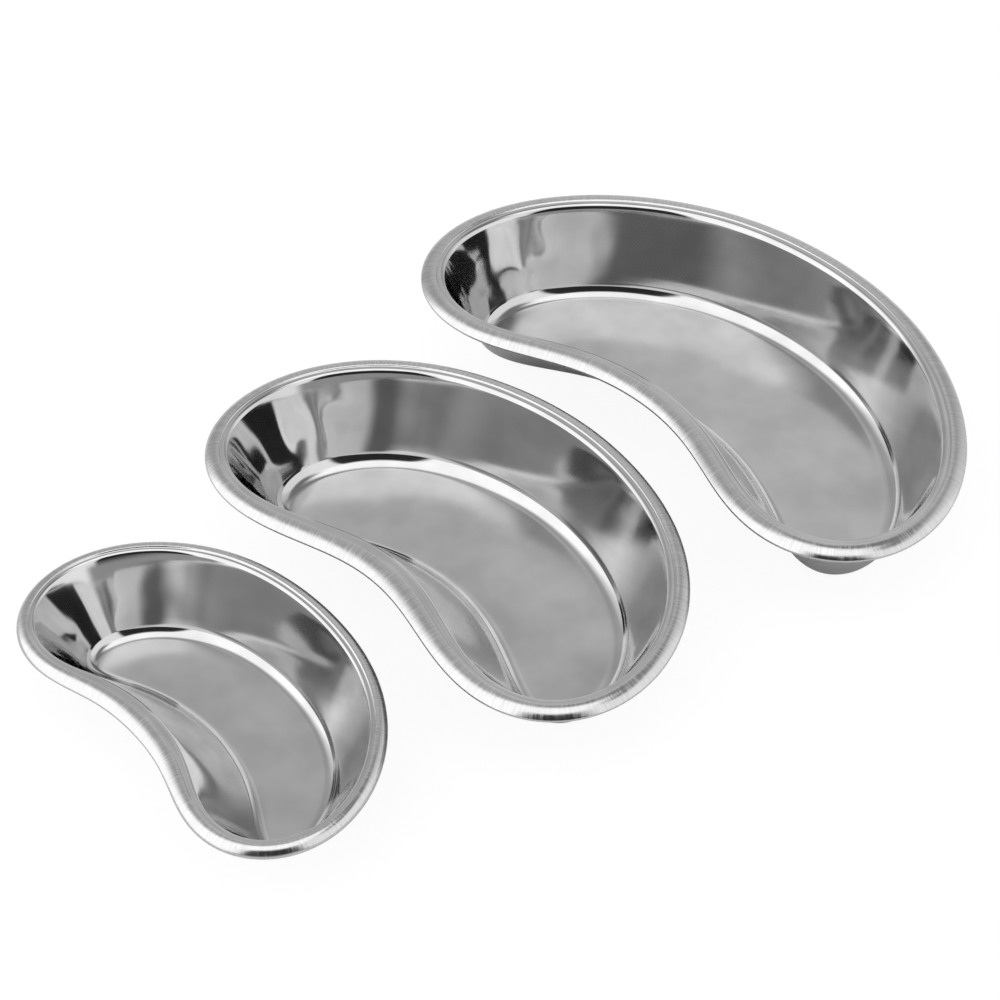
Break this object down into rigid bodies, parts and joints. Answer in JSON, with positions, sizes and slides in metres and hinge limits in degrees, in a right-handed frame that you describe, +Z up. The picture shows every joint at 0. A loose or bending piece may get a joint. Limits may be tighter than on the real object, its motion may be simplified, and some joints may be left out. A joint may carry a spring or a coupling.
{
  "type": "kidney dish set",
  "caption": "Graduated set of stainless-steel kidney dishes with flared walls, flat bases and rolled rims, standing side by side.",
  "frame": {"origin": "centre of the set's bounding box, at the level the bases stand on", "axes": "+Z up; the dishes' long sides lie along X with their concave sides facing -Y; the smallest dish is at -Y and the largest at +Y"},
  "size_m": [0.2992, 0.4435, 0.047],
  "materials": {
    "steel": "polished walls, satin base, cross-brushed rolled rim"
  },
  "bodies": {
    "large_dish": {"large_dish": "steel"},
    "medium_dish": {"medium_dish": "steel"},
    "small_dish": {"small_dish": "steel"}
  },
  "joints": [
    {"name": "medium_lift", "type": "slide", "parent": "large_dish", "child": "medium_dish", "axis": [0, 0, 1], "range_m": [0, 0.15]},
    {"name": "small_lift", "type": "slide", "parent": "large_dish", "child": "small_dish", "axis": [0, 0, 1], "range_m": [0, 0.15]}
  ]
}
